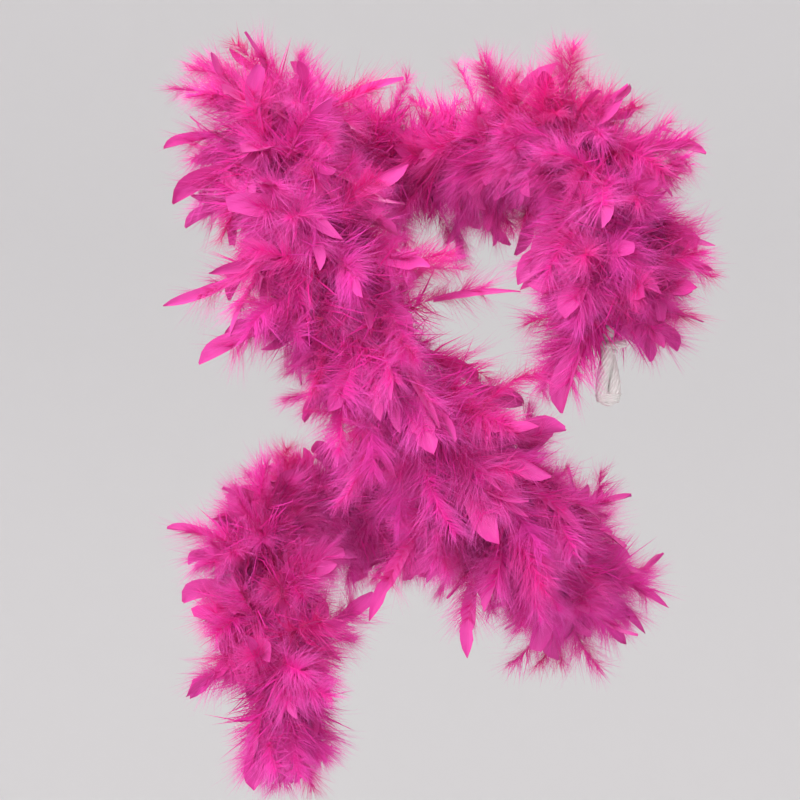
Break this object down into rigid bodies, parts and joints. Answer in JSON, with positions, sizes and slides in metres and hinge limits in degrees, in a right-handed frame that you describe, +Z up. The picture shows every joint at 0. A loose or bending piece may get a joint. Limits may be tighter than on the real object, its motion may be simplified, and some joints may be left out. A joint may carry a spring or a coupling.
{
  "type": "feather boa",
  "caption": "Long bright pink feather boa draped round neck, chest and waist, with a tail hanging at shoulder and hip and a twisted white cotton loop at each end",
  "frame": {"origin": "the middle of the wearer's neck, level with the shoulders, which holds the boa up", "axes": "+Z up, +X to the wearer's left, -Y to the wearer's front"},
  "size_m": [0.5105, 0.4851, 0.7042],
  "materials": {
    "feather_pink": "satin",
    "cotton_white": "matte"
  },
  "bodies": {
    "drape": {"core_drape": "cotton_white", "feather_tuft_05": "feather_pink", "feather_tuft_06": "feather_pink", "feather_tuft_07": "feather_pink", "feather_tuft_08": "feather_pink", "feather_tuft_09": "feather_pink", "feather_tuft_10": "feather_pink", "feather_tuft_11": "feather_pink", "feather_tuft_12": "feather_pink", "feather_tuft_13": "feather_pink", "feather_tuft_14": "feather_pink", "feather_tuft_15": "feather_pink", "feather_tuft_16": "feather_pink", "feather_tuft_17": "feather_pink", "feather_tuft_18": "feather_pink", "feather_tuft_19": "feather_pink", "feather_tuft_20": "feather_pink", "feather_tuft_21": "feather_pink", "feather_tuft_22": "feather_pink", "feather_tuft_23": "feather_pink", "feather_tuft_24": "feather_pink", "feather_tuft_25": "feather_pink", "feather_tuft_26": "feather_pink", "feather_tuft_27": "feather_pink", "feather_tuft_28": "feather_pink", "feather_tuft_29": "feather_pink", "feather_tuft_30": "feather_pink", "feather_tuft_31": "feather_pink", "feather_tuft_32": "feather_pink", "feather_tuft_33": "feather_pink", "feather_tuft_34": "feather_pink", "feather_tuft_35": "feather_pink", "feather_tuft_36": "feather_pink", "feather_tuft_37": "feather_pink", "feather_tuft_38": "feather_pink", "feather_tuft_39": "feather_pink", "feather_tuft_40": "feather_pink", "feather_tuft_41": "feather_pink", "feather_tuft_42": "feather_pink", "feather_tuft_43": "feather_pink"},
    "front_tail": {"core_front_tail": "cotton_white", "core_shoulder_bend": "cotton_white", "feather_tuft_01": "feather_pink", "feather_tuft_02": "feather_pink", "feather_tuft_03": "feather_pink", "feather_tuft_04": "feather_pink", "front_knot": "cotton_white", "front_cut_end": "cotton_white", "front_whipping": "cotton_white"},
    "front_end_loop": {"front_loop": "cotton_white"},
    "hip_tail": {"core_hip_tail": "cotton_white", "core_hip_bend": "cotton_white", "feather_tuft_44": "feather_pink", "feather_tuft_45": "feather_pink", "feather_tuft_46": "feather_pink", "rear_knot": "cotton_white", "rear_cut_end": "cotton_white", "rear_whipping": "cotton_white"},
    "rear_end_loop": {"rear_loop": "cotton_white"}
  },
  "joints": [
    {"name": "front_tail_swing", "type": "hinge", "parent": "drape", "child": "front_tail", "pos_m": [0.19, -0.1488, -0.094], "axis": [1, 0, 0], "range_deg": [-60, 15], "deforming": ["core_shoulder_bend", "feather_tuft_04", "feather_tuft_05"]},
    {"name": "hip_tail_swing", "type": "hinge", "parent": "drape", "child": "hip_tail", "pos_m": [-0.1144, -0.0767, -0.4684], "axis": [0, 1, 0], "range_deg": [-35, 35], "deforming": ["core_hip_bend", "feather_tuft_43", "feather_tuft_44"]},
    {"name": "front_loop_tilt", "type": "hinge", "parent": "front_tail", "child": "front_end_loop", "pos_m": [0.19, -0.145, -0.232], "axis": [1, 0, 0], "range_deg": [-60, 60]},
    {"name": "rear_loop_tilt", "type": "hinge", "parent": "hip_tail", "child": "rear_end_loop", "pos_m": [-0.113, -0.074, -0.584], "axis": [1, 0, 0], "range_deg": [-60, 60]}
  ]
}
